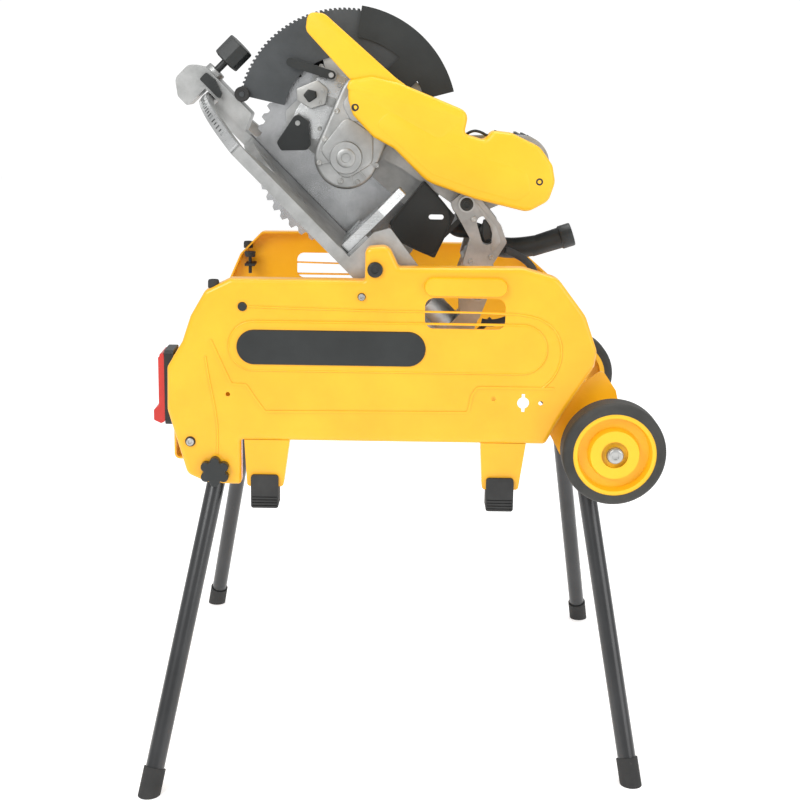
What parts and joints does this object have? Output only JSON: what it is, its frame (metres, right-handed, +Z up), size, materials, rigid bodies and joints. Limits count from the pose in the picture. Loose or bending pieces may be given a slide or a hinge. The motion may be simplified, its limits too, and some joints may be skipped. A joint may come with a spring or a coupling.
{
  "type": "mitre saw on stand",
  "caption": "Yellow flip-over combination mitre and table saw on a wheeled base with splayed black legs, its table halfway through a flip.",
  "frame": {"origin": "on the floor under the middle of the bounding box", "axes": "+X from the operator's end to the wheels, +Y across the base towards the far wall, +Z up from the floor"},
  "size_m": [0.7803, 0.8632, 1.1613],
  "materials": {
    "base_yellow": "satin",
    "cover_yellow": "satin",
    "frame_black": "satin",
    "leg_black": "satin",
    "cast_silver": "cast",
    "machined_silver": "brushed",
    "black_plastic": "moulded",
    "black_rubber": "matt",
    "tyre_rubber": "matt",
    "red_plastic": "satin",
    "green_plastic": "satin",
    "guard_grey": "moulded",
    "zinc_steel": "zinc",
    "blade_steel": "ground"
  },
  "bodies": {
    "base": {"near_wall": "base_yellow", "far_wall": "base_yellow", "front_panel": "base_yellow", "rear_panel": "base_yellow", "side_pads": "black_plastic", "foot_brackets": "base_yellow", "base_feet": "black_rubber", "leg_sockets": "frame_black", "axle": "zinc_steel", "pivot_bolts": "black_plastic", "rest_bumpers": "black_rubber", "wall_screws": "black_plastic", "switch_box": "black_plastic"},
    "stop_flap": {"stop_flap": "red_plastic"},
    "start_button": {"start_button": "green_plastic"},
    "near_wheel": {"near_tyre": "tyre_rubber", "near_hub": "cover_yellow"},
    "far_wheel": {"far_tyre": "tyre_rubber", "far_hub": "cover_yellow"},
    "front_near_leg": {"front_near_leg": "leg_black", "front_near_leg_cap": "black_rubber"},
    "front_far_leg": {"front_far_leg": "leg_black", "front_far_leg_cap": "black_rubber"},
    "rear_near_leg": {"rear_near_leg": "leg_black", "rear_near_leg_cap": "black_rubber"},
    "rear_far_leg": {"rear_far_leg": "leg_black", "rear_far_leg_cap": "black_rubber"},
    "front_near_knob": {"front_near_leg_knob": "black_plastic"},
    "front_far_knob": {"front_far_leg_knob": "black_plastic"},
    "rear_near_knob": {"rear_near_leg_knob": "black_plastic"},
    "rear_far_knob": {"rear_far_leg_knob": "black_plastic"},
    "table": {"table_frame": "cast_silver", "mitre_scale": "machined_silver", "fence_base": "cast_silver"},
    "near_fence": {"near_fence": "machined_silver"},
    "far_fence": {"far_fence": "machined_silver"},
    "mitre_table": {"mitre_table": "cast_silver", "kerf_plates": "black_plastic"},
    "mitre_knob": {"mitre_knob": "black_plastic"},
    "mitre_latch": {"mitre_latch": "black_plastic"},
    "bevel": {"bevel_bracket": "cast_silver", "dust_duct": "black_plastic", "motor_conduit": "black_rubber", "hinge_bolt": "zinc_steel"},
    "bevel_clamp": {"bevel_clamp": "black_plastic"},
    "head": {"head_arm": "cast_silver", "gear_housing": "cast_silver", "motor_housing": "black_plastic", "belt_cover": "cover_yellow", "handle": "cover_yellow", "upper_guard": "cast_silver", "guard_cover": "black_plastic"},
    "blade": {"blade": "blade_steel", "spindle": "zinc_steel"},
    "movable_guard": {"movable_guard": "guard_grey"},
    "guard_roller": {"guard_roller": "black_rubber"},
    "lock_lever": {"lock_lever": "black_plastic"},
    "guard_lever": {"guard_lever": "black_plastic"}
  },
  "joints": [
    {"name": "stop_flap_lift", "type": "hinge", "parent": "base", "child": "stop_flap", "pos_m": [-0.3715, -0.205, 0.633], "axis": [0, 1, 0], "range_deg": [0, 60]},
    {"name": "start_press", "type": "slide", "parent": "base", "child": "start_button", "axis": [1, 0, 0], "range_m": [0, 0.0015], "stiffness_N_per_m": 400},
    {"name": "near_wheel_spin", "type": "hinge", "parent": "base", "child": "near_wheel", "pos_m": [0.3125, -0.299, 0.51], "axis": [0, 1, 0], "continuous": true},
    {"name": "far_wheel_spin", "type": "hinge", "parent": "base", "child": "far_wheel", "pos_m": [0.3125, 0.299, 0.51], "axis": [0, 1, 0], "continuous": true},
    {"name": "front_near_leg_pull", "type": "slide", "parent": "base", "child": "front_near_leg", "axis": [-0.1788, -0.3429, -0.9222], "range_m": [0, 0.12]},
    {"name": "front_far_leg_pull", "type": "slide", "parent": "base", "child": "front_far_leg", "axis": [-0.1788, 0.3429, -0.9222], "range_m": [0, 0.12]},
    {"name": "rear_near_leg_pull", "type": "slide", "parent": "base", "child": "rear_near_leg", "axis": [0.1494, -0.3257, -0.9336], "range_m": [0, 0.12]},
    {"name": "rear_far_leg_pull", "type": "slide", "parent": "base", "child": "rear_far_leg", "axis": [0.1494, 0.3257, -0.9336], "range_m": [0, 0.12]},
    {"name": "front_near_knob_turn", "type": "hinge", "parent": "base", "child": "front_near_knob", "pos_m": [-0.287, -0.268, 0.463], "axis": [0, 1, 0], "continuous": true},
    {"name": "front_far_knob_turn", "type": "hinge", "parent": "base", "child": "front_far_knob", "pos_m": [-0.287, 0.268, 0.463], "axis": [0, 1, 0], "continuous": true},
    {"name": "rear_near_knob_turn", "type": "hinge", "parent": "base", "child": "rear_near_knob", "pos_m": [0.3, -0.1945, 0.466], "axis": [1, 0, 0], "continuous": true},
    {"name": "rear_far_knob_turn", "type": "hinge", "parent": "base", "child": "rear_far_knob", "pos_m": [0.3, 0.1945, 0.466], "axis": [1, 0, 0], "continuous": true},
    {"name": "table_flip", "type": "hinge", "parent": "base", "child": "table", "pos_m": [-0.047, 0, 0.774], "axis": [0, 1, 0], "range_deg": [-45, 135]},
    {"name": "near_fence_slide", "type": "slide", "parent": "table", "child": "near_fence", "axis": [0, -1, 0], "range_m": [0, 0.025]},
    {"name": "far_fence_slide", "type": "slide", "parent": "table", "child": "far_fence", "axis": [0, 1, 0], "range_m": [0, 0.025]},
    {"name": "mitre_turn", "type": "hinge", "parent": "table", "child": "mitre_table", "pos_m": [-0.10039, 0, 0.80122], "axis": [0.7071, 0, 0.7071], "range_deg": [-40, 40]},
    {"name": "mitre_knob_turn", "type": "hinge", "parent": "mitre_table", "child": "mitre_knob", "pos_m": [-0.29661, 0, 1.07169], "axis": [0.7071, 0, 0.7071], "continuous": true},
    {"name": "mitre_latch_tip", "type": "hinge", "parent": "mitre_table", "child": "mitre_latch", "pos_m": [-0.32206, -0.033, 1.04199], "axis": [0, -1, 0], "range_deg": [0, 10]},
    {"name": "bevel_tilt", "type": "hinge", "parent": "mitre_table", "child": "bevel", "pos_m": [0.05871, 0, 0.64212], "axis": [0.7071, 0, -0.7071], "range_deg": [-2, 2]},
    {"name": "bevel_clamp_turn", "type": "hinge", "parent": "bevel", "child": "bevel_clamp", "pos_m": [0.08601, 0, 0.61483], "axis": [0.7071, 0, -0.7071], "range_deg": [-60, 0]},
    {"name": "head_chop", "type": "hinge", "parent": "bevel", "child": "head", "pos_m": [0.09371, 0, 0.85673], "axis": [0, 1, 0], "range_deg": [0, 38]},
    {"name": "blade_spin", "type": "hinge", "parent": "head", "child": "blade", "pos_m": [-0.09791, 0, 0.92673], "axis": [0, 1, 0], "continuous": true},
    {"name": "guard_close", "type": "hinge", "parent": "head", "child": "movable_guard", "pos_m": [-0.10145, 0, 0.98401], "axis": [0, -1, 0], "range_deg": [0, 30]},
    {"name": "guard_roller_spin", "type": "hinge", "parent": "movable_guard", "child": "guard_roller", "pos_m": [-0.2662, -0.036, 1.02149], "axis": [0, 1, 0], "continuous": true},
    {"name": "lock_lever_tip", "type": "hinge", "parent": "head", "child": "lock_lever", "pos_m": [-0.17711, -0.04, 0.97765], "axis": [0, -1, 0], "range_deg": [-12, 0]},
    {"name": "guard_lever_tip", "type": "hinge", "parent": "head", "child": "guard_lever", "pos_m": [-0.12408, -0.039, 1.05331], "axis": [0, -1, 0], "range_deg": [-8, 8]}
  ],
  "couplings": [
    {"joint": "guard_close", "follows": "head_chop", "ratio": 0.78}
  ]
}
